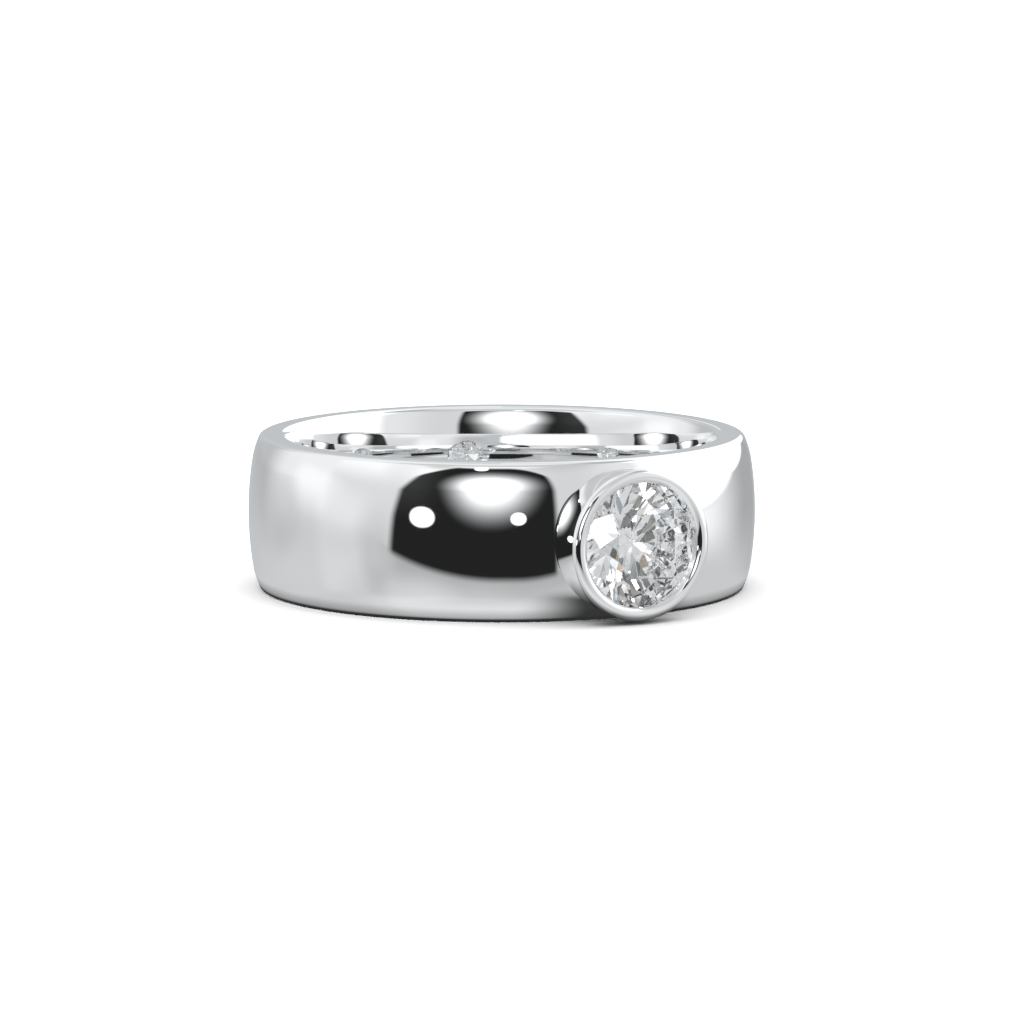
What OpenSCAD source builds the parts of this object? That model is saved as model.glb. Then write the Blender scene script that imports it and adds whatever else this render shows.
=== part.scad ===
// Wide court-profile finger ring with one round brilliant in a raised tube
// bezel. The ring lies on its side: the finger hole runs along Z, its middle
// is the origin, and the stone faces -Y. All sizes are in millimetres.

/* [Band] */
// Width of the band along the finger
band_w = 6.1; // [5.9:0.1:6.6]
// Radius of the plain land in the middle of the finger hole
bore_r = 8.25; // [8:0.05:9]
// Length of that plain land along the finger
land_len = 1.5; // [1.2:0.1:2]
// Radial thickness of the band at mid-width
band_t = 1.72; // [1.6:0.02:2]
// Radius of the gentle arc across the middle of the outside
crown_arc_r = 13.37; // [12:0.01:16]
// Half angle covered by the gentle outer arc, in degrees
crown_arc_deg = 8.6; // [6:0.1:10]
// Radius of the tighter arc on each outer shoulder
shoulder_arc_r = 3.66; // [3.2:0.01:4.4]
// Radius of the rounded rims, inside and outside
rim_fillet = 0.25; // [0.15:0.01:0.35]
// Slope where the tight inner shoulder hands over to the rim rounding, in degrees
inner_rim_deg = 17; // [15:1:20]
// Radius of the tighter arc on each inner shoulder
inner_shoulder_r = 3.2; // [2.8:0.05:3.6]
// Slope where the inner shoulder hands over to the comfort arc, in degrees
inner_arc_deg = 7; // [5:0.5:8]

/* [Bezel] */
// Distance from the ring's axis to the front of the rim
rim_front_h = 11.518; // [11.45:0.002:11.6]
// Radius of the circle along which the rim stands furthest forward
rim_ring_r = 2.627; // [2.6:0.001:2.66]
// Radius of the broad arc across the rim
rim_arc_r = 0.295; // [0.27:0.005:0.32]
// Slope where the broad arc hands over to the rounded outer edge, in degrees
rim_out_deg = 48; // [40:1:56]
// Slope where the broad arc ends at the lip over the stone, in degrees
rim_in_deg = 55; // [48:1:60]
// Radius of the rounded outer edge
rim_edge_r = 0.14; // [0.1:0.01:0.2]
// Slope where the rounded edge hands over to the side arc, in degrees
rim_edge_deg = 62; // [57:1:70]
// Radius of the side arc, between the rounded edge and the collar
rim_side_r = 0.33; // [0.24:0.01:0.4]
// Inward slope of the collar's side where it leaves the rim, in degrees
collar_taper = 2.8; // [0:0.1:5]
// Radius of the long arc on which the collar's side bows in to the band
collar_bow_r = 12; // [9:0.5:40]

/* [Stone] */
// Girdle diameter of the stone
stone_d = 4.94; // [4.9:0.01:5.02]
// Table width, corner to corner, as a share of the girdle diameter
table_share = 0.53; // [0.51:0.01:0.58]
// Crown angle, in degrees
crown_deg = 33.4; // [32.4:0.1:34.6]
// Pavilion angle, in degrees
pavilion_deg = 39.8; // [39.2:0.1:40.8]
// Thickness of the girdle
girdle_t = 0.15; // [0.1:0.01:0.18]
// Length of the star facets, as a share of the crown's run
star_share = 0.51; // [0.45:0.01:0.6]
// Length of the lower half facets, as a share of the pavilion's run
lower_share = 0.79; // [0.7:0.01:0.84]
// Height of the table above the front of the rim
table_rise = 0.232; // [0.1:0.002:0.36]
// Turn of the stone about its own axis, in degrees
stone_turn = 22.5; // [0:0.1:45]

/* [Setting] */
// Gap kept between the stone and the metal
stone_gap = 0.03; // [0.02:0.005:0.04]
// Radius of the open back's mouth at the finger hole
back_mouth_r = 2.2; // [2:0.01:2.3]
// Radius of the open back below the stone
back_throat_r = 1.9; // [1.6:0.02:1.96]

/* [Hidden] */
$fn = 96;
half_w = band_w / 2;

// ---- band section, r outwards and z along the finger -------------------
// Tangent arcs follow each other: across the outside these are the crown arc,
// the shoulder and the rim rounding.
crown_r = bore_r + band_t;
crown_c = [crown_r - crown_arc_r, 0];
shoulder_c = crown_c + (crown_arc_r - shoulder_arc_r) * [cos(crown_arc_deg), sin(crown_arc_deg)];
rim_z = half_w - rim_fillet;
outer_rim_deg = asin((rim_z - shoulder_c[1]) / (shoulder_arc_r - rim_fillet));
outer_rim_c = shoulder_c + (shoulder_arc_r - rim_fillet) * [cos(outer_rim_deg), sin(outer_rim_deg)];

// The inside is built from the land outwards: comfort arc, inner shoulder,
// then the rim rounding. The comfort arc's radius closes the height.
inner_rim_z = rim_z + rim_fillet * sin(inner_rim_deg);
inner_arc_z = inner_rim_z - inner_shoulder_r * (sin(inner_rim_deg) - sin(inner_arc_deg));
comfort_r = (inner_arc_z - land_len / 2) / sin(inner_arc_deg);
comfort_c = [bore_r + comfort_r, land_len / 2];
inner_shoulder_c = comfort_c + (comfort_r - inner_shoulder_r) * [-cos(inner_arc_deg), sin(inner_arc_deg)];
inner_rim_c = inner_shoulder_c + (inner_shoulder_r - rim_fillet) * [-cos(inner_rim_deg), sin(inner_rim_deg)];

// Points on an arc between two slopes, in steps that stay within 0.003 of it.
// side is 1 for the outside of the band and -1 for the inside.
function arc(c, r, from, to, side, n) =
    [for (i = [0:n]) let (a = from + (to - from) * i / n) c + r * [side * cos(a), sin(a)]];

// The upper half of the section, from mid-width outside to the land inside.
upper = concat(
    arc(crown_c, crown_arc_r, 0, crown_arc_deg, 1, 4),
    [for (i = [1:14]) arc(shoulder_c, shoulder_arc_r, crown_arc_deg, outer_rim_deg, 1, 14)[i]],
    [for (i = [1:5]) arc(outer_rim_c, rim_fillet, outer_rim_deg, 90, 1, 5)[i]],
    arc(inner_rim_c, rim_fillet, 90, inner_rim_deg, -1, 8),
    [for (i = [1:3]) arc(inner_shoulder_c, inner_shoulder_r, inner_rim_deg, inner_arc_deg, -1, 3)[i]],
    [for (i = [1:4]) arc(comfort_c, comfort_r, inner_arc_deg, 0, -1, 4)[i]]);

module band_section() {
    last = len(upper) - 1;
    polygon(concat(upper, [for (i = [last:-1:1]) [upper[i][0], -upper[i][1]]]));
}

// ---- bezel and stone, on the stone's own axis --------------------------
// Heights here are distances from the ring's axis, before the setting is
// turned to face -Y.
module face_front() rotate([90, 0, 0]) children();

stone_r = stone_d / 2;
table_r = stone_r * table_share;
table_h = rim_front_h + table_rise;
girdle_top = table_h - (stone_r - table_r) * tan(crown_deg);
girdle_low = girdle_top - girdle_t;
culet_h = girdle_low - stone_r * tan(pavilion_deg);
// the rim's section: a broad arc, a tighter edge tangent to it, then the side
rim_c = [rim_ring_r, rim_front_h - rim_arc_r];
edge_c = rim_c + (rim_arc_r - rim_edge_r) * [sin(rim_out_deg), cos(rim_out_deg)];
side_c = edge_c + (rim_edge_r - rim_side_r) * [sin(rim_edge_deg), cos(rim_edge_deg)];
lip_r = rim_ring_r - rim_arc_r * sin(rim_in_deg);
lip_h = rim_front_h - rim_arc_r * (1 - cos(rim_in_deg));
crown_drop = (stone_r - lip_r) * tan(crown_deg);
collar_foot_h = bore_r + 0.75;
back_mouth_h = bore_r - 0.1;
// the collar's long arc is tangent to the side arc
bow_c = side_c - (collar_bow_r - rim_side_r) * [cos(collar_taper), -sin(collar_taper)];
bow_foot_deg = -asin((bow_c[1] - collar_foot_h) / collar_bow_r);

module collar() face_front() rotate_extrude($fn = 128) polygon(concat(
    [[0, collar_foot_h]],
    arc(bow_c, collar_bow_r, bow_foot_deg, -collar_taper, 1, 6),
    [for (i = [1:4]) arc(side_c, rim_side_r, -collar_taper, 90 - rim_edge_deg, 1, 4)[i]],
    [for (i = [1:3]) arc(edge_c, rim_edge_r, 90 - rim_edge_deg, 90 - rim_out_deg, 1, 3)[i]],
    [for (i = [1:12]) arc(rim_c, rim_arc_r, 90 - rim_out_deg, 90 + rim_in_deg, 1, 12)[i]],
    [for (i = [1:3]) arc(rim_c, rim_arc_r, 90 + rim_in_deg, 180, 1, 3)[i]],
    [[0, rim_c[1]]]));

// Everything cut away for the stone: the well above the crown, the lip that
// follows the crown, the girdle wall, the seat that follows the pavilion and
// the open back.
module stone_well() face_front() rotate_extrude($fn = 128) polygon([
    [0, bore_r - 1.6],
    [back_mouth_r + 0.4, bore_r - 1.6],
    [back_mouth_r + 0.4, back_mouth_h - 0.4],
    [back_throat_r, back_mouth_h + back_mouth_r - back_throat_r],
    [back_throat_r, culet_h + back_throat_r * tan(pavilion_deg) - stone_gap / cos(pavilion_deg)],
    [stone_r + stone_gap, girdle_low + (stone_gap * sin(pavilion_deg) - stone_gap) / cos(pavilion_deg)],
    [stone_r + stone_gap, girdle_top + (stone_gap - stone_gap * sin(crown_deg)) / cos(crown_deg)],
    [lip_r, girdle_top + crown_drop + stone_gap / cos(crown_deg)],
    [lip_r, lip_h + 0.6],
    [0, lip_h + 0.6]]);

module band_with_bezel() color([0.86, 0.87, 0.88]) difference() {
    union() {
        rotate_extrude($fn = 256) band_section();
        collar();
    }
    stone_well();
}

// ---- round brilliant ----------------------------------------------------
// Rings of points, from the table down to the culet. Main facets are centred
// on every 45 degrees, and the halves meet between them.
function ring8(r, h, turn) = [for (i = [0:7]) [r * cos(45 * i + turn), r * sin(45 * i + turn), h]];
function ring16(r, h) = [for (i = [0:15]) [r * cos(22.5 * i), r * sin(22.5 * i), h]];

star_r = table_r * cos(22.5) + star_share * (stone_r - table_r * cos(22.5));
star_h = table_h - (star_r * cos(22.5) - table_r) * tan(crown_deg);
lower_r = stone_r * (1 - lower_share);
lower_h = culet_h + lower_r * cos(22.5) * tan(pavilion_deg);

stone_points = concat(
    ring8(table_r, table_h, 0),        // 0..7    table corners
    ring8(star_r, star_h, 22.5),       // 8..15   star tips
    ring16(stone_r, girdle_top),       // 16..31  top of the girdle
    ring16(stone_r, girdle_low),       // 32..47  foot of the girdle
    ring8(lower_r, lower_h, 22.5),     // 48..55  lower half tips
    [[0, 0, culet_h]]);                // 56      culet

function nxt(i, n) = (i + 1) % n;
stone_faces = concat(
    [[for (i = [7:-1:0]) i]],
    [for (i = [0:7]) [i, nxt(i, 8), 8 + i]],                                        // stars
    [for (i = [0:7]) [i, 8 + i, 16 + 2 * i, 8 + (i + 7) % 8]],                      // crown mains
    [for (i = [0:7]) [8 + i, 16 + 2 * i + 1, 16 + 2 * i]],                          // upper halves
    [for (i = [0:7]) [8 + i, 16 + (2 * i + 2) % 16, 16 + 2 * i + 1]],
    [for (i = [0:15]) [16 + i, 16 + nxt(i, 16), 32 + nxt(i, 16), 32 + i]],          // girdle
    [for (i = [0:7]) [48 + i, 32 + 2 * i, 32 + 2 * i + 1]],                         // lower halves
    [for (i = [0:7]) [48 + i, 32 + 2 * i + 1, 32 + (2 * i + 2) % 16]],
    [for (i = [0:7]) [56, 48 + (i + 7) % 8, 32 + 2 * i, 48 + i]]);                  // pavilion mains

module stone() color([0.95, 0.97, 1.0, 0.6]) face_front()
    rotate([0, 0, stone_turn]) polyhedron(stone_points, stone_faces, convexity = 2);

band_with_bezel();
stone();
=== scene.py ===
import math

import bmesh
import bpy
import numpy as np
from mathutils import Matrix, Vector


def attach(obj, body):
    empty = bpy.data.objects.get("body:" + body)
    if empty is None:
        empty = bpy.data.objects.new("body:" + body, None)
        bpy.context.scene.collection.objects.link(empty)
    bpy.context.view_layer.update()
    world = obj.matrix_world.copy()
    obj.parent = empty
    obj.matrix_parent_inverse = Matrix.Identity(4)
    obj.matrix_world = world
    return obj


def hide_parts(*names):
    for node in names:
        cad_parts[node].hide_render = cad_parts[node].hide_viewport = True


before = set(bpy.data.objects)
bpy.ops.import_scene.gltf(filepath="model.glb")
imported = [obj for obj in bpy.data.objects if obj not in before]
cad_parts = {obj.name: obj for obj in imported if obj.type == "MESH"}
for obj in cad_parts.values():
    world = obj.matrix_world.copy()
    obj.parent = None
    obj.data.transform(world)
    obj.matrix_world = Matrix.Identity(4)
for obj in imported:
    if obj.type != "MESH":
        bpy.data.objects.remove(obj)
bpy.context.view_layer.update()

MM = 0.001
scene = bpy.context.scene

# ---------------------------------------------------------------------------
# Sizes of the real object in millimetres, as in the frame: the finger hole
# runs along Z, the origin is its middle, and the stone faces -Y.
# ---------------------------------------------------------------------------
HALF_W = 3.05
BORE_R = 8.25
LAND = 1.5
BAND_T = 1.72
CROWN_R, CROWN_A = 13.37, 8.6
SHOULDER_R = 3.66
FILLET = 0.25
IN_RIM_A = 17.0
IN_SHOULDER_R = 3.2
IN_ARC_A = 7.0

# the bezel's rim, by slope from its front: the side arc runs round from the
# collar to EDGE_A, the tighter edge on to RIM_OUT_A, and the broad arc from
# there in to RIM_IN_A. The collar's side starts with a slope of TAPER and
# bows inwards to the band on a long arc of radius BOW_R
RIM_TOP, RIM_C, RIM_R = 11.518, 2.627, 0.295
RIM_OUT_A, RIM_IN_A, TAPER, BOW_R = 48.0, 55.0, 2.8, 12.0
EDGE_R, EDGE_A, SIDE_R = 0.14, 62.0, 0.33

STONE_D = 4.94
TABLE = 0.53
CROWN_ANG, PAV_ANG = 33.4, 39.8
GIRDLE = 0.15
STAR, LOWER = 0.51, 0.79
TABLE_RISE = 0.232
STONE_TURN = 22.5

GAP = 0.03
MOUTH_R, THROAT_R = 2.2, 1.9


def sind(a): return math.sin(math.radians(a))
def cosd(a): return math.cos(math.radians(a))
def tand(a): return math.tan(math.radians(a))


# ---------------------------------------------------------------------------
# Profiles. A profile is a list of pieces in its own half plane, (u, v): an
# arc is ("arc", centre, radius, from, to, steps, side) and a line is
# ("line", p, q, steps). Side is 1 where the surface faces away from the arc's
# centre and -1 where it faces it. They run so that the solid is on the left.
# ---------------------------------------------------------------------------
def on(c, r, a):
    return (c[0] + r * cosd(a), c[1] + r * sind(a))


def piece_points(p):
    if p[0] == "arc":
        _, c, r, a, b, n, _s = p
        return [on(c, r, a + (b - a) * i / n) for i in range(n + 1)]
    _, a, b, n = p
    return [(a[0] + (b[0] - a[0]) * i / n, a[1] + (b[1] - a[1]) * i / n) for i in range(n + 1)]


def outline(pieces, closed):
    pts = []
    for p in pieces:
        for q in piece_points(p):
            if not pts or math.dist(q, pts[-1]) > 1e-6:
                pts.append(q)
    if closed and math.dist(pts[0], pts[-1]) < 1e-6:
        pts.pop()
    return pts


def band_profile():
    crown_r = BORE_R + BAND_T
    cc = (crown_r - CROWN_R, 0.0)
    sc = (cc[0] + (CROWN_R - SHOULDER_R) * cosd(CROWN_A), (CROWN_R - SHOULDER_R) * sind(CROWN_A))
    rim_z = HALF_W - FILLET
    oa = math.degrees(math.asin((rim_z - sc[1]) / (SHOULDER_R - FILLET)))
    oc = (sc[0] + (SHOULDER_R - FILLET) * cosd(oa), rim_z)
    iz = rim_z + FILLET * sind(IN_RIM_A)
    az = iz - IN_SHOULDER_R * (sind(IN_RIM_A) - sind(IN_ARC_A))
    cr = (az - LAND / 2) / sind(IN_ARC_A)
    com = (BORE_R + cr, LAND / 2)
    isc = (com[0] - (cr - IN_SHOULDER_R) * cosd(IN_ARC_A), com[1] + (cr - IN_SHOULDER_R) * sind(IN_ARC_A))
    irc = (isc[0] - (IN_SHOULDER_R - FILLET) * cosd(IN_RIM_A), rim_z)
    # upper half, from mid-width outside over the rim to the land inside
    up = [
        ("arc", cc, CROWN_R, 0.0, CROWN_A, 12, 1),
        ("arc", sc, SHOULDER_R, CROWN_A, oa, 26, 1),
        ("arc", oc, FILLET, oa, 90.0, 10, 1),
        ("line", (oc[0], HALF_W), (irc[0], HALF_W), 3),
        ("arc", irc, FILLET, 90.0, 180.0 - IN_RIM_A, 16, 1),
        ("arc", isc, IN_SHOULDER_R, 180.0 - IN_RIM_A, 180.0 - IN_ARC_A, 6, 1),
        ("arc", com, cr, 180.0 - IN_ARC_A, 180.0, 8, 1),
        ("line", (BORE_R, LAND / 2), (BORE_R, 0.0), 3),
    ]
    down = []
    for p in reversed(up):
        if p[0] == "arc":
            _, c, r, a, b, n, s = p
            down.append(("arc", (c[0], -c[1]), r, -b, -a, n, s))
        else:
            down.append(("line", (p[2][0], -p[2][1]), (p[1][0], -p[1][1]), p[3]))
    return up + down


STONE_R = STONE_D / 2
TABLE_R = STONE_R * TABLE
TABLE_H = RIM_TOP + TABLE_RISE
GIRDLE_TOP = TABLE_H - (STONE_R - TABLE_R) * tand(CROWN_ANG)
GIRDLE_LOW = GIRDLE_TOP - GIRDLE
CULET_H = GIRDLE_LOW - STONE_R * tand(PAV_ANG)
LIP_R, LIP_H = RIM_C - RIM_R * sind(RIM_IN_A), RIM_TOP - RIM_R * (1 - cosd(RIM_IN_A))


def collar_profile():
    foot_h = BORE_R + 0.75
    rim = (RIM_C, RIM_TOP - RIM_R)
    out_a = 90.0 - RIM_OUT_A
    edge = (rim[0] + (RIM_R - EDGE_R) * cosd(out_a), rim[1] + (RIM_R - EDGE_R) * sind(out_a))
    side_a = 90.0 - EDGE_A
    side = (edge[0] + (EDGE_R - SIDE_R) * cosd(side_a), edge[1] + (EDGE_R - SIDE_R) * sind(side_a))
    t = on(side, SIDE_R, -TAPER)
    bow = (t[0] - BOW_R * cosd(TAPER), t[1] + BOW_R * sind(TAPER))
    foot_a = -math.degrees(math.asin((bow[1] - foot_h) / BOW_R))
    return [
        ("line", (0.0, foot_h), on(bow, BOW_R, foot_a), 4),
        ("arc", bow, BOW_R, foot_a, -TAPER, 24, 1),
        ("arc", side, SIDE_R, -TAPER, side_a, 14, 1),
        ("arc", edge, EDGE_R, side_a, out_a, 6, 1),
        ("arc", rim, RIM_R, out_a, 90.0 + RIM_IN_A, 30, 1),
        ("arc", rim, RIM_R, 90.0 + RIM_IN_A, 180.0, 10, 1),
        ("line", (RIM_C - RIM_R, rim[1]), (0.0, rim[1]), 4),
    ]


def well_profile():
    lip_h = GIRDLE_TOP + (STONE_R - LIP_R) * tand(CROWN_ANG) + GAP / cosd(CROWN_ANG)
    mouth_h = BORE_R - 0.1
    pts = [
        (0.0, BORE_R - 1.6),
        (MOUTH_R + 0.4, BORE_R - 1.6),
        (MOUTH_R + 0.4, mouth_h - 0.4),
        (THROAT_R, mouth_h + MOUTH_R - THROAT_R),
        (THROAT_R, CULET_H + THROAT_R * tand(PAV_ANG) - GAP / cosd(PAV_ANG)),
        (STONE_R + GAP, GIRDLE_LOW + (GAP * sind(PAV_ANG) - GAP) / cosd(PAV_ANG)),
        (STONE_R + GAP, GIRDLE_TOP + (GAP - GAP * sind(CROWN_ANG)) / cosd(CROWN_ANG)),
        (LIP_R, lip_h),
        (LIP_R, LIP_H),
        (LIP_R - 0.3, LIP_H + 0.9),
        (0.0, LIP_H + 0.9),
    ]
    return [("line", a, b, 1 if i in (0, len(pts) - 2) else 3) for i, (a, b) in enumerate(zip(pts, pts[1:]))]


def normal_table(pieces):
    """For each piece: a function from (u, v) arrays to distance and outward normal."""
    rows = []
    for p in pieces:
        if p[0] == "arc":
            _, c, r, a, b, _n, s = p
            rows.append(("arc", np.array(c), r, min(a, b), max(a, b), s))
        else:
            a, b = np.array(p[1]), np.array(p[2])
            d = (b - a) / max(np.linalg.norm(b - a), 1e-12)
            rows.append(("line", a, b, d, np.array([d[1], -d[0]])))
    return rows


def piece_distance(row, q):
    if row[0] == "arc":
        _, c, r, a0, a1, _s = row
        v = q - c
        ang = np.degrees(np.arctan2(v[:, 1], v[:, 0]))
        ang = np.where(ang < a0 - 1e-3, ang + 360.0, ang)
        off = np.maximum(0.0, ang - a1) + np.maximum(0.0, a0 - ang)
        off = np.where(off > 180.0, 360.0 - off, off)
        return np.abs(np.hypot(v[:, 0], v[:, 1]) - r) + np.radians(off) * r
    _, a, b, d, _n = row
    L = np.linalg.norm(b - a)
    t = (q - a) @ d
    tc = np.clip(t, 0, L)
    return np.linalg.norm(q - (a + tc[:, None] * d), axis=1)


def piece_normal(row, q):
    if row[0] == "arc":
        v = q - row[1]
        n = v / np.maximum(np.linalg.norm(v, axis=1, keepdims=True), 1e-12)
        return n * row[5]
    return np.repeat(row[4][None, :], len(q), axis=0)


# ---------------------------------------------------------------------------
# Meshes of revolution, in metres
# ---------------------------------------------------------------------------
def revolve(name, pts, n, axis, mat_index, offset=0.0):
    """A closed solid of revolution. axis is "z" (u outwards, v along Z) or "-y" (u outwards, v along -Y)."""
    bm = bmesh.new()
    rings = []
    for u, v in pts:
        if u < 1e-7:
            x = (0, 0, v) if axis == "z" else (0, -v, 0)
            rings.append([bm.verts.new(Vector(x) * MM)])
            continue
        ring = []
        for k in range(n):
            a = 2 * math.pi * (k + offset) / n
            c, s = u * math.cos(a), u * math.sin(a)
            x = (c, s, v) if axis == "z" else (c, -v, s)
            ring.append(bm.verts.new(Vector(x) * MM))
        rings.append(ring)
    closed = pts[0][0] > 1e-7
    pairs = list(zip(rings, rings[1:])) + ([(rings[-1], rings[0])] if closed else [])
    for a, b in pairs:
        for k in range(n):
            j = (k + 1) % n
            if len(a) == 1:
                f = (a[0], b[k], b[j])
            elif len(b) == 1:
                f = (a[k], b[0], a[j])
            else:
                f = (a[k], b[k], b[j], a[j])
            bm.faces.new(f).material_index = mat_index
    bmesh.ops.recalc_face_normals(bm, faces=bm.faces)
    me = bpy.data.meshes.new(name)
    bm.to_mesh(me)
    bm.free()
    for k in range(3):
        me.materials.append(slots[k])
    o = bpy.data.objects.new(name, me)
    scene.collection.objects.link(o)
    return o


slots = [bpy.data.materials.new("src_" + s) for s in ("band", "collar", "well")]


def metal_mesh():
    band_p, collar_p, well_p = band_profile(), collar_profile(), well_profile()
    band = revolve("tmp_band", outline(band_p, True), 360, "z", 0, 0.5)
    collar = revolve("tmp_collar", outline(collar_p, False), 192, "-y", 1, 0.5)
    well = revolve("tmp_well", outline(well_p, False), 192, "-y", 2, 0.5)
    for other, op in ((collar, "UNION"), (well, "DIFFERENCE")):
        m = band.modifiers.new(op, "BOOLEAN")
        m.operation, m.object, m.solver = op, other, "EXACT"
        m.material_mode = "INDEX"
    dg = bpy.context.evaluated_depsgraph_get()
    me = bpy.data.meshes.new_from_object(band.evaluated_get(dg))
    for o in (band, collar, well):
        bpy.data.objects.remove(o)
    # exact normals from the surface each face came from
    tables = [normal_table(band_p), normal_table(collar_p), normal_table(well_p)]
    co = np.empty(len(me.vertices) * 3)
    me.vertices.foreach_get("co", co)
    co = co.reshape(-1, 3) / MM
    npoly, nloop = len(me.polygons), len(me.loops)
    start, total = np.empty(npoly, int), np.empty(npoly, int)
    src, vi = np.empty(npoly, int), np.empty(nloop, int)
    cen = np.empty(npoly * 3)
    me.polygons.foreach_get("loop_start", start)
    me.polygons.foreach_get("loop_total", total)
    me.polygons.foreach_get("material_index", src)
    me.polygons.foreach_get("center", cen)
    me.loops.foreach_get("vertex_index", vi)
    cen = cen.reshape(-1, 3) / MM
    face_of = np.repeat(np.arange(npoly), total)
    order = np.concatenate([np.arange(s, s + t) for s, t in zip(start, total)])
    loop_face = np.empty(nloop, int)
    loop_face[order] = face_of
    out = np.zeros((nloop, 3))
    for k, table in enumerate(tables):
        def flat(p):
            if k == 0:
                return np.stack([np.hypot(p[:, 0], p[:, 1]), p[:, 2]], 1)
            return np.stack([np.hypot(p[:, 0], p[:, 2]), -p[:, 1]], 1)
        fs = np.where(src == k)[0]
        if not len(fs):
            continue
        d = np.stack([piece_distance(row, flat(cen[fs])) for row in table], 1)
        best = np.full(npoly, -1)
        best[fs] = d.argmin(1)
        for i, row in enumerate(table):
            ls = np.where((src[loop_face] == k) & (best[loop_face] == i))[0]
            if not len(ls):
                continue
            p = co[vi[ls]]
            n2 = piece_normal(row, flat(p))
            if k == 0:
                r = np.maximum(np.hypot(p[:, 0], p[:, 1]), 1e-9)
                n3 = np.stack([n2[:, 0] * p[:, 0] / r, n2[:, 0] * p[:, 1] / r, n2[:, 1]], 1)
            else:
                r = np.maximum(np.hypot(p[:, 0], p[:, 2]), 1e-9)
                n3 = np.stack([n2[:, 0] * p[:, 0] / r, -n2[:, 1], n2[:, 0] * p[:, 2] / r], 1)
            out[ls] = n3
    # the well is cut away, so its surfaces face the other way; the face itself decides
    fn = np.empty(npoly * 3)
    me.polygons.foreach_get("normal", fn)
    fn = fn.reshape(-1, 3)[loop_face]
    flip = np.sign(np.sum(out * fn, 1))
    out *= np.where(flip == 0, 1, flip)[:, None]
    me.materials.clear()
    me.polygons.foreach_set("material_index", np.zeros(npoly, int))
    me.polygons.foreach_set("use_smooth", np.ones(npoly, bool))
    me.normals_split_custom_set([tuple(n) for n in out])
    me.update()
    return me


def stone_mesh():
    """A round brilliant cut out of a round blank by its own facet planes, on the axis -Y."""
    bm = bmesh.new()
    n = 128
    lo, hi = CULET_H - 0.5, TABLE_H + 0.5
    rings = []
    for v in (lo, hi):
        rings.append([bm.verts.new((STONE_R * math.cos(2 * math.pi * (k + 0.5) / n), STONE_R * math.sin(2 * math.pi * (k + 0.5) / n), v)) for k in range(n)])
    for k in range(n):
        j = (k + 1) % n
        bm.faces.new((rings[0][k], rings[0][j], rings[1][j], rings[1][k]))
    bm.faces.new(rings[0][::-1])
    bm.faces.new(rings[1])

    def pol(r, a, h):
        return Vector((r * cosd(a), r * sind(a), h))

    star_r = TABLE_R * cosd(22.5) + STAR * (STONE_R - TABLE_R * cosd(22.5))
    star_h = TABLE_H - (star_r * cosd(22.5) - TABLE_R) * tand(CROWN_ANG)
    low_r = STONE_R * (1 - LOWER)
    low_h = CULET_H + low_r * cosd(22.5) * tand(PAV_ANG)
    planes = [(pol(0, 0, TABLE_H), Vector((0, 0, 1)))]
    for i in range(8):
        a = 45 * i
        star, low = pol(star_r, a + 22.5, star_h), pol(low_r, a + 22.5, low_h)
        planes.append((pol(TABLE_R, a, TABLE_H), Vector((sind(CROWN_ANG) * cosd(a), sind(CROWN_ANG) * sind(a), cosd(CROWN_ANG)))))
        planes.append((pol(0, 0, CULET_H), Vector((sind(PAV_ANG) * cosd(a), sind(PAV_ANG) * sind(a), -cosd(PAV_ANG)))))
        tri = [(pol(TABLE_R, a, TABLE_H), pol(TABLE_R, a + 45, TABLE_H), star)]
        for s in (0, 22.5):
            tri.append((star, pol(STONE_R, a + s, GIRDLE_TOP), pol(STONE_R, a + s + 22.5, GIRDLE_TOP)))
            tri.append((low, pol(STONE_R, a + s, GIRDLE_LOW), pol(STONE_R, a + s + 22.5, GIRDLE_LOW)))
        for p, q, r in tri:
            nrm = (q - p).cross(r - p).normalized()
            mid = (p + q + r) / 3 - Vector((0, 0, GIRDLE_LOW))
            planes.append((p, nrm if nrm.dot(mid) > 0 else -nrm))
    for p, nrm in planes:
        geom = bm.verts[:] + bm.edges[:] + bm.faces[:]
        cut = bmesh.ops.bisect_plane(bm, geom=geom, dist=1e-6, plane_co=p, plane_no=nrm, clear_outer=True)
        edges = [e for e in cut["geom_cut"] if isinstance(e, bmesh.types.BMEdge)]
        if edges:
            bmesh.ops.contextual_create(bm, geom=edges)
    bmesh.ops.remove_doubles(bm, verts=bm.verts, dist=2e-5)
    bmesh.ops.dissolve_degenerate(bm, edges=bm.edges, dist=1e-5)
    bmesh.ops.recalc_face_normals(bm, faces=bm.faces)
    # on to the stone's axis, and into metres
    turn = Matrix.Rotation(math.radians(STONE_TURN), 4, "Z")
    face_front = Matrix.Rotation(math.radians(90), 4, "X")
    bmesh.ops.transform(bm, matrix=Matrix.Scale(MM, 4) @ face_front @ turn, verts=bm.verts)
    me = bpy.data.meshes.new("brilliant")
    bm.to_mesh(me)
    bm.free()
    return me


def add_piece(name, me, node):
    o = bpy.data.objects.new(name, me)
    scene.collection.objects.link(o)
    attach(o, "root")
    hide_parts(node)
    return o


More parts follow.
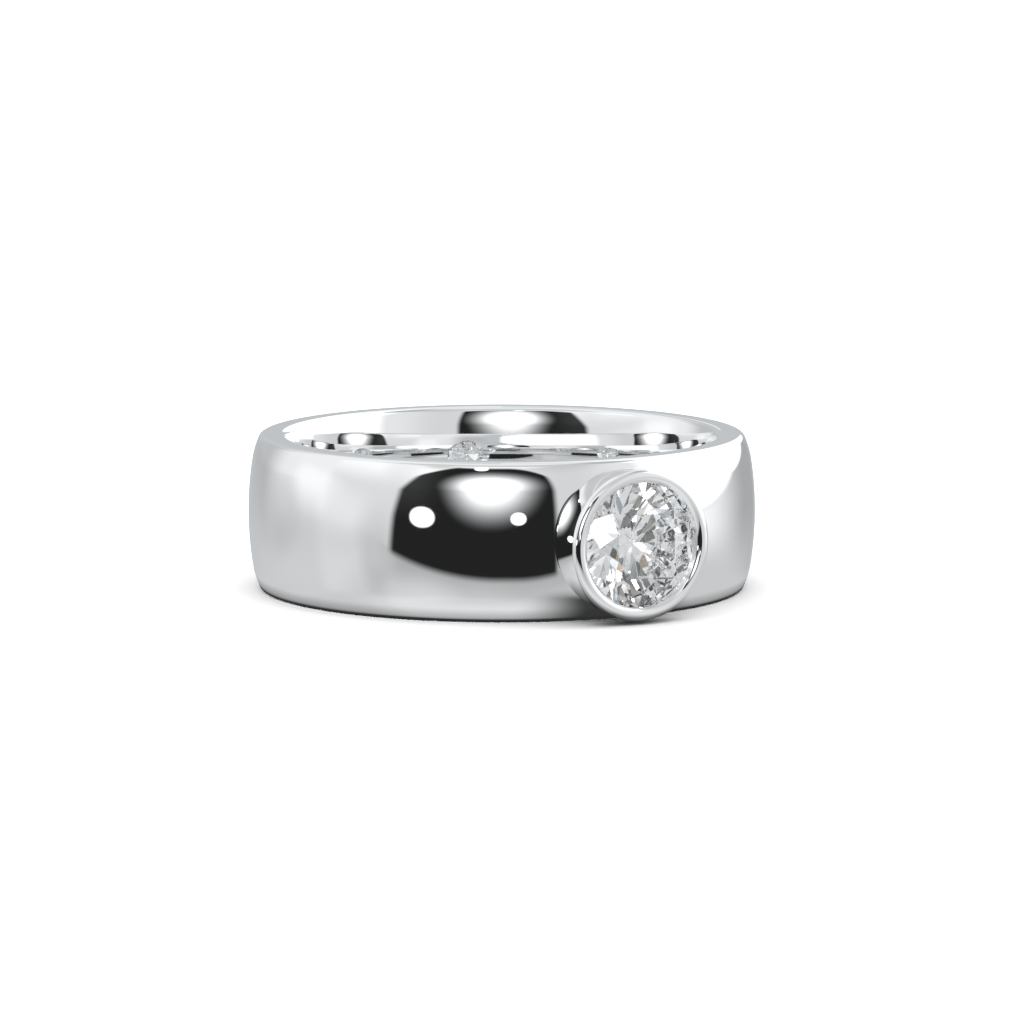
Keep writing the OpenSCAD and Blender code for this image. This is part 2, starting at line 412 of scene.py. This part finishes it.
# ---------------------------------------------------------------------------
# Small helper to write node maths as plain expressions
# ---------------------------------------------------------------------------
class V:
    tree = None

    def __init__(self, s):
        self.s = s

    @staticmethod
    def op(kind, *args, clamp=False):
        n = V.tree.nodes.new("ShaderNodeMath")
        n.operation = kind
        n.use_clamp = clamp
        for i, a in enumerate(args):
            if isinstance(a, V):
                V.tree.links.new(a.s, n.inputs[i])
            else:
                n.inputs[i].default_value = float(a)
        return V(n.outputs[0])

    def __add__(self, o): return V.op("ADD", self, o)
    def __radd__(self, o): return V.op("ADD", o, self)
    def __sub__(self, o): return V.op("SUBTRACT", self, o)
    def __rsub__(self, o): return V.op("SUBTRACT", o, self)
    def __mul__(self, o): return V.op("MULTIPLY", self, o)
    def __rmul__(self, o): return V.op("MULTIPLY", o, self)
    def __truediv__(self, o): return V.op("DIVIDE", self, o)
    def __abs__(self): return V.op("ABSOLUTE", self)
    def __neg__(self): return V.op("MULTIPLY", self, -1.0)


def vmin(a, b): return V.op("MINIMUM", a, b)
def vmax(a, b): return V.op("MAXIMUM", a, b)
def power(x, p): return V.op("POWER", vmax(x, 0.0), p)
def gt(a, b): return V.op("GREATER_THAN", a, b)


def step(x, lo, hi):
    """Smooth step of x from 0 at lo to 1 at hi. lo may be over hi."""
    n = V.tree.nodes.new("ShaderNodeMapRange")
    n.interpolation_type = "SMOOTHSTEP"
    flip = lo > hi
    V.tree.links.new(x.s, n.inputs[0])
    n.inputs[1].default_value, n.inputs[2].default_value = (hi, lo) if flip else (lo, hi)
    n.inputs[3].default_value, n.inputs[4].default_value = (1.0, 0.0) if flip else (0.0, 1.0)
    return V(n.outputs[0])


def mix(a, b, t):
    """a where t is 0 and b where it is 1."""
    return a + (b - a) * t


def display(v):
    """The linear value that a screen shows as v of 255."""
    c = v / 255.0
    return c / 12.92 if c <= 0.04045 else ((c + 0.055) / 1.055) ** 2.4


# ---------------------------------------------------------------------------
# Camera: 36 mm sensor, fitted to the ring's outline
# ---------------------------------------------------------------------------
AZ = 27.72          # the stone is turned this far to the right of the camera
UNIT = 9.969        # the fit's unit in millimetres: the band's outer radius
DIST, ELEV = 24.1675 * UNIT, 7.7815
YAW, PITCH = -0.00166690, 0.00045944
FOCAL = 6116.96

right = Vector((cosd(AZ), -sind(AZ), 0.0))
toward = Vector((-sind(AZ), -cosd(AZ), 0.0))       # from the ring to the camera, level
cam_pos = (toward * cosd(ELEV) + Vector((0, 0, 1)) * sind(ELEV)) * DIST
fwd = -cam_pos.normalized()
up = right.cross(fwd)
cy, sy, cp, sp = math.cos(YAW), math.sin(YAW), math.cos(PITCH), math.sin(PITCH)
r1, f1 = cy * right + sy * fwd, -sy * right + cy * fwd
u1, f2 = cp * up + sp * f1, -sp * up + cp * f1
cam_data = bpy.data.cameras.new("camera")
cam_data.sensor_width = 36.0
cam_data.lens = FOCAL / 1024 * 36.0
cam_data.clip_start, cam_data.clip_end = 0.01, 20.0
cam = bpy.data.objects.new("camera", cam_data)
rot = Matrix((r1, u1, -f2)).transposed()
cam.matrix_world = Matrix.Translation(cam_pos * MM) @ rot.to_4x4()
scene.collection.objects.link(cam)
scene.camera = cam

# ---------------------------------------------------------------------------
# Materials
# ---------------------------------------------------------------------------
ALBEDO = 0.94


def polished_metal():
    m = bpy.data.materials.new("polished_white_metal")
    m.use_nodes = True
    t = m.node_tree
    p = next(n for n in t.nodes if n.type == "BSDF_PRINCIPLED")
    p.inputs["Metallic"].default_value = 1.0
    tc = t.nodes.new("ShaderNodeTexCoord")
    # soft cloudiness of the plating, a few millimetres across
    cloud = t.nodes.new("ShaderNodeTexNoise")
    cloud.inputs["Scale"].default_value = 260.0
    cloud.inputs["Detail"].default_value = 2.0
    ramp = t.nodes.new("ShaderNodeValToRGB")
    ramp.color_ramp.elements[0].position, ramp.color_ramp.elements[1].position = 0.35, 0.65
    ramp.color_ramp.elements[0].color = (ALBEDO - 0.006, ALBEDO - 0.004, ALBEDO, 1)
    ramp.color_ramp.elements[1].color = (ALBEDO + 0.004, ALBEDO + 0.005, ALBEDO + 0.006, 1)
    # buffing haze: fine streaks that run round the ring
    fine = t.nodes.new("ShaderNodeTexNoise")
    fine.inputs["Scale"].default_value = 5200.0
    fine.inputs["Detail"].default_value = 4.0
    rough = t.nodes.new("ShaderNodeMapRange")
    rough.inputs["From Min"].default_value, rough.inputs["From Max"].default_value = 0.3, 0.7
    rough.inputs["To Min"].default_value, rough.inputs["To Max"].default_value = 0.012, 0.03
    t.links.new(tc.outputs["Object"], cloud.inputs["Vector"])
    t.links.new(tc.outputs["Object"], fine.inputs["Vector"])
    t.links.new(cloud.outputs["Fac"], ramp.inputs["Fac"])
    t.links.new(ramp.outputs["Color"], p.inputs["Base Color"])
    t.links.new(fine.outputs["Fac"], rough.inputs["Value"])
    t.links.new(rough.outputs["Result"], p.inputs["Roughness"])
    return m


def clear_stone():
    m = bpy.data.materials.new("clear_stone")
    m.use_nodes = True
    t = m.node_tree
    p = next(n for n in t.nodes if n.type == "BSDF_PRINCIPLED")
    p.inputs["Transmission Weight"].default_value = 1.0
    p.inputs["IOR"].default_value = 2.417
    p.inputs["Roughness"].default_value = 0.0
    tc = t.nodes.new("ShaderNodeTexCoord")
    noise = t.nodes.new("ShaderNodeTexNoise")
    noise.inputs["Scale"].default_value = 900.0
    ramp = t.nodes.new("ShaderNodeValToRGB")
    ramp.color_ramp.elements[0].color = (0.965, 0.968, 0.975, 1)
    ramp.color_ramp.elements[1].color = (0.985, 0.987, 0.99, 1)
    t.links.new(tc.outputs["Object"], noise.inputs["Vector"])
    t.links.new(noise.outputs["Fac"], ramp.inputs["Fac"])
    t.links.new(ramp.outputs["Color"], p.inputs["Base Color"])
    return m


metal = metal_mesh()
metal.materials.append(polished_metal())
ring = add_piece("ring_metal", metal, "band_with_bezel")
brilliant = stone_mesh()
brilliant.materials.append(clear_stone())
gem = add_piece("brilliant", brilliant, "stone")

# ---------------------------------------------------------------------------
# Floor: a plain pale sheet. The ring mirrors the studio below it through the
# sheet, with a painted shadow, set by floor position, where the floor is hidden
# under the ring. In direct view, its colour has a painted shadow under the
# bezel and painted light from the band.
# ---------------------------------------------------------------------------
bpy.ops.mesh.primitive_plane_add(size=6.0, location=(0, 0, -HALF_W * MM))
floor = bpy.context.object
floor.name = "floor"
fm = bpy.data.materials.new("pale_floor")
fm.use_nodes = True
ft = fm.node_tree
ft.nodes.clear()
f_out = ft.nodes.new("ShaderNodeOutputMaterial")
f_mix = ft.nodes.new("ShaderNodeMixShader")
f_path = ft.nodes.new("ShaderNodeLightPath")
f_dif = ft.nodes.new("ShaderNodeBsdfDiffuse")
f_clear = ft.nodes.new("ShaderNodeBsdfTransparent")
V.tree = ft
f_tc = ft.nodes.new("ShaderNodeTexCoord")
f_sep = ft.nodes.new("ShaderNodeSeparateXYZ")
ft.links.new(f_tc.outputs["Object"], f_sep.inputs[0])
FX, FY = V(f_sep.outputs[0]) * 1000.0, V(f_sep.outputs[1]) * 1000.0
FR = power(FX * FX + FY * FY, 0.5)
# painted contact shadow at the foot of the band, outside and mirrored to the inside of the finger hole
away = mix(18.03 - FR, FR, gt(FR, 9.0))
foot = step(away, 9.53, 9.76) * 0.5 + step(away, 9.5, 10.4) * 0.5
# painted shadow under the bezel, which leans out over the floor
d_x = vmax(abs(FX) - 1.1, 0.0) / 3.3
d_y = vmax(-FY - 10.9, 0.0) / 2.0
painted_bezel_shadow = step(power(d_x * d_x + d_y * d_y, 0.5), 0.0, 1.0) * 0.94 + 0.06
painted_bezel_shadow = mix(1.0, painted_bezel_shadow, step(FY, -8.3, -9.0))
# painted shadow: both darken the studio seen through the floor in the ring's reflections
shade = vmax(foot * painted_bezel_shadow, 0.05)
ft.links.new(shade.s, f_clear.inputs["Color"])
# painted shadow: the floor's own colour is darkened in a patch under the front of the bezel
shadow_patch_x, shadow_patch_y = abs(FX - 0.1) / 2.5, abs(FY + 10.65) / 0.75
painted_light_and_shade = (1.0 - step(power(shadow_patch_x * shadow_patch_x + shadow_patch_y * shadow_patch_y, 0.5), 1.0, 0.1) * 0.62) * 0.9
# painted light: the floor's colour is brightened where the polished front of the band would throw light on the floor
# close to it
lit = step(FR, 9.75, 9.45) * step(FX * -0.465 + FY * -0.885, 1.0, 7.0)
painted_light_and_shade = painted_light_and_shade * (lit * 0.45 + 1.0)
ft.links.new(painted_light_and_shade.s, f_dif.inputs["Color"])
ft.links.new(f_path.outputs["Is Camera Ray"], f_mix.inputs[0])
ft.links.new(f_clear.outputs[0], f_mix.inputs[1])
ft.links.new(f_dif.outputs[0], f_mix.inputs[2])
ft.links.new(f_mix.outputs[0], f_out.inputs["Surface"])
floor.data.materials.append(fm)

# ---------------------------------------------------------------------------
# Studio: soft white walls, a black card round the camera with a large soft
# lamp and two small ones, all as functions of direction
# ---------------------------------------------------------------------------
world = bpy.data.worlds.new("studio")
scene.world = world
world.use_nodes = True
wt = world.node_tree
wt.nodes.clear()
V.tree = wt
w_tc = wt.nodes.new("ShaderNodeTexCoord")
w_rot = wt.nodes.new("ShaderNodeVectorRotate")
w_rot.rotation_type = "Z_AXIS"
w_rot.inputs["Angle"].default_value = math.radians(AZ)
wt.links.new(w_tc.outputs["Generated"], w_rot.inputs["Vector"])
w_sep = wt.nodes.new("ShaderNodeSeparateXYZ")
wt.links.new(w_rot.outputs[0], w_sep.inputs[0])
X, Y, Z = (V(w_sep.outputs[i]) for i in range(3))
DEG = 57.29578
AZM = V.op("ARCTAN2", X, -Y) * DEG
ELE = V.op("ARCSINE", vmax(vmin(Z, 1.0), -1.0)) * DEG


def spot(az, el, caz, cel, waz, wel, soft, p=2.0):
    """1 inside a rounded patch centred at (caz, cel), half sizes waz and wel, 0 outside, with a soft rim."""
    a = power(abs((az - caz) / waz), p)
    b = power(abs((el - cel) / wel), p)
    return step(power(a + b, 1.0 / p), 1.0 + soft, 1.0 - soft)


def studio(az, el):
    """Brightness of the studio seen in the ring at azimuth az, right of the camera, and elevation el."""
    far = abs(az)
    left = step(az, 30, -30)
    # measured on round the back from the right
    turn = az + 360.0 * gt(-az, 125.0)
    # glow from below
    low = mix(display(206), mix(display(200), display(224), step(far, 86, 44)), step(el, -14, -36))
    low = mix(low, display(218), spot(az, el, -96, -17, 44, 7, 0.8) * 0.7)
    low = mix(low, display(197), spot(az, el, -59, -12, 8, 13, 0.6))
    low = mix(low, display(196), spot(az, el, -124, -4, 18, 7, 0.6))
    low = mix(low, display(188), step(el, -44, -68))
    # walls, brighter to the left
    wall = mix(mix(display(216), display(226), step(el, -2, 18)), display(255), step(el, 11, 32))
    wall = mix(wall, display(231), spot(az, el, -75, -0.5, 13, 6, 0.7) * 0.9)
    wall = mix(wall, display(240), step(az, -83, -90) * step(el, -8, 6))
    wall = mix(wall, display(254), spot(az, el, -99, 6.4, 16, 7.4, 0.7) * 0.85)
    wall = mix(wall, display(233), step(az, -102, -116) * step(el, 26, 8) * 0.9)
    wall = mix(wall, mix(display(188), display(240), step(el, 14, 50)), step(az, -118, -141))
    wall = mix(wall, mix(display(197), display(217), step(el, 26, 60)), step(az, -150, -170))
    wall_r = mix(display(212), display(229), step(az, 34, 64))
    v = mix(wall_r, wall, left)
    v = mix(low, v, step(el, -13, -1))
    # ceiling
    v = mix(v, display(203), step(el, 42, 54) * step(far, 98, 64))
    v = mix(v, display(196), spot(az, el, 34, 43, 18, 9, 0.7) * 0.9)
    v = mix(v, display(200), spot(az, el, -33, 41, 10, 6, 0.6))
    v = mix(v, display(246), spot(az, el, 0, 41, 24, 4.0, 0.45))
    v = mix(v, display(237), step(el, 70, 80))
    # white wall on the right and round the back, above a slanting edge
    edge = el - power(vmax(turn - 100.0, 0.0) / 55.0, 1.5) * 7.0 + 3.4
    end = mix(181.5, 160.0, step(el, 24, 40))
    right_w = step(az, 66, 77) * step(edge, -0.8, 1.2) * step(el - vmax(az - 75.0, 0.0) * 0.2, 51, 46) * step(turn - end, 3, -3)
    right_w = vmax(right_w, step(turn, 170, 176) * step(edge, -0.8, 1.2) * step(turn - end, 3, -3) * step(el, 46, 34))
    v = mix(v, display(178), spot(az, el, 105, 62, 45, 9, 0.5))
    v = mix(v, 1.2, right_w)
    under = step(turn, 60, 96) * step(turn, 200, 180) * step(edge, 0.2, -1.0) * gt(turn, 0.0)
    dull = mix(mix(display(250), display(168), step(turn, 100, 146)), display(192), step(turn, 158, 176))
    v = mix(v, mix(dull, display(200), step(el, -6, -16)), under)
    # black card round the camera
    foot = -20.3 + power(vmax(-2.0 - az, 0.0) / 46.0, 1.9) * 7.8 + power(vmax(az - 6.0, 0.0) / 18.0, 2.0) * 1.8
    ledge = -50.3 + 0.37 * vmax(el, 0.0) + 0.17 * vmin(el, 0.0)
    redge = 24.6 - 0.06 * el - power(vmax(el - 4.0, 0.0) / 30.0, 3.0) * 3.0
    top = 37.4 - power(vmax(-22.0 - az, 0.0) / 15.5, 1.4) * 9.5 - power(vmax(az - 2.0, 0.0) / 16.0, 2.2) * 6.6
    front = step(az, -60, -46) * step(az, 46, 30)
    v = mix(v, mix(display(172), display(224), power(step(el - foot, 2.0, -24.0), 0.8)), front * step(el - foot, 2, 0))
    v = mix(v, display(228), spot(az, el, -41, -27, 15, 7, 0.75) * 0.75)
    # slight unevenness of the walls and of the glow from below
    trim = 1.0 - step(az, -86, -98) * step(az, -179, -168) * step(el, 4, -2) * step(el, -27, -20) * 0.09
    trim = trim - spot(az, el, -117, -4, 11, 6, 0.7) * 0.13
    trim = trim - spot(az, el, -52, -22, 22, 7, 0.6) * 0.11
    trim = trim - spot(az, el, -60, -5, 8, 6, 0.6) * 0.09
    trim = trim - spot(az, el, -51, 36, 9, 16, 0.5) * 0.11
    trim = trim + spot(az, el, -11, -26.5, 13, 5, 0.7) * 0.09
    v = v * trim
    card = step(az - ledge, -1.9, 2.4) * step(az - redge, 1.8, -1.8) * step(el - top, 1.4, -1.2) * step(el - foot, -1.5, 1.6)
    v = mix(v, mix(display(34), display(60), step(az, -24, -43) * step(el, -3, 14)), card)
    # one large soft lamp and three small ones on the card
    side = az + 5.5
    side = vmax(side, 0.0) / 28.96 - vmin(side, 0.0) / 26.25
    rise = el - 15.7
    rise = vmax(rise, 0.0) / 19.74 - vmin(rise, 0.0) / 20.3
    r = power(power(side, 2.1) + power(rise, 2.1), 0.4762)
    v = v + power(1.0 - r, 2.0) * card * 4.15
    v = mix(v, 2.4, spot(az, el, -36.0, 0.2, 5.5, 3.1, 0.18, 2.1))
    v = mix(v, 2.4, spot(az, el, 7.4, 0.5, 3.3, 2.0, 0.2, 2.1))
    v = mix(v, 2.4, spot(az, el, -10.5, 36.9, 3.4, 2.3, 0.25, 2.2))
    return v * (1.0 / ALBEDO)


w_path = wt.nodes.new("ShaderNodeLightPath")
plain = studio(AZM, ELE)
# light that has passed the stone is spread a little by colour
SPREAD = 0.3
thru = V(w_path.outputs["Is Transmission Ray"])
red = studio(AZM + SPREAD, ELE + SPREAD * 0.6)
blue = vmax(plain * 2.0 - red, 0.0)
red, blue = mix(plain, red, thru), mix(plain, blue, thru)
# the room is a touch cooler than the lamps, most of all behind
cool = step(abs(AZM), 140, 170) * 0.65 + 0.35
red = red * (1.0 - cool * 0.045)
blue = blue * (cool * 0.025 + 1.0)
col = wt.nodes.new("ShaderNodeCombineXYZ")
wt.links.new(red.s, col.inputs[0])
wt.links.new(plain.s, col.inputs[1])
wt.links.new(blue.s, col.inputs[2])
bg = wt.nodes.new("ShaderNodeBackground")
wt.links.new(col.outputs[0], bg.inputs["Color"])
bg_cam = wt.nodes.new("ShaderNodeBackground")
bg_cam.inputs["Color"].default_value = (1, 1, 1, 1)
bg_dif = wt.nodes.new("ShaderNodeBackground")
bg_dif.inputs["Color"].default_value = (1, 1, 1, 1)
bg_dif.inputs["Strength"].default_value = 1.78
m1, m2 = wt.nodes.new("ShaderNodeMixShader"), wt.nodes.new("ShaderNodeMixShader")
wt.links.new(w_path.outputs["Is Diffuse Ray"], m1.inputs[0])
wt.links.new(bg.outputs[0], m1.inputs[1])
wt.links.new(bg_dif.outputs[0], m1.inputs[2])
wt.links.new(w_path.outputs["Is Camera Ray"], m2.inputs[0])
wt.links.new(m1.outputs[0], m2.inputs[1])
wt.links.new(bg_cam.outputs[0], m2.inputs[2])
w_out = wt.nodes.new("ShaderNodeOutputWorld")
wt.links.new(m2.outputs[0], w_out.inputs["Surface"])

scene.view_settings.view_transform = "Standard"
scene.view_settings.look = "None"
scene.cycles.max_bounces = 32
scene.cycles.glossy_bounces = 16
scene.cycles.transmission_bounces = 28
scene.cycles.transparent_max_bounces = 16
scene.cycles.diffuse_bounces = 2
scene.cycles.caustics_reflective = False
scene.cycles.caustics_refractive = False
world.cycles.sampling_method = "NONE"
scene.cycles.blur_glossy = 0.0
scene.cycles.sample_clamp_indirect = 0.0
scene.cycles.use_denoising = True
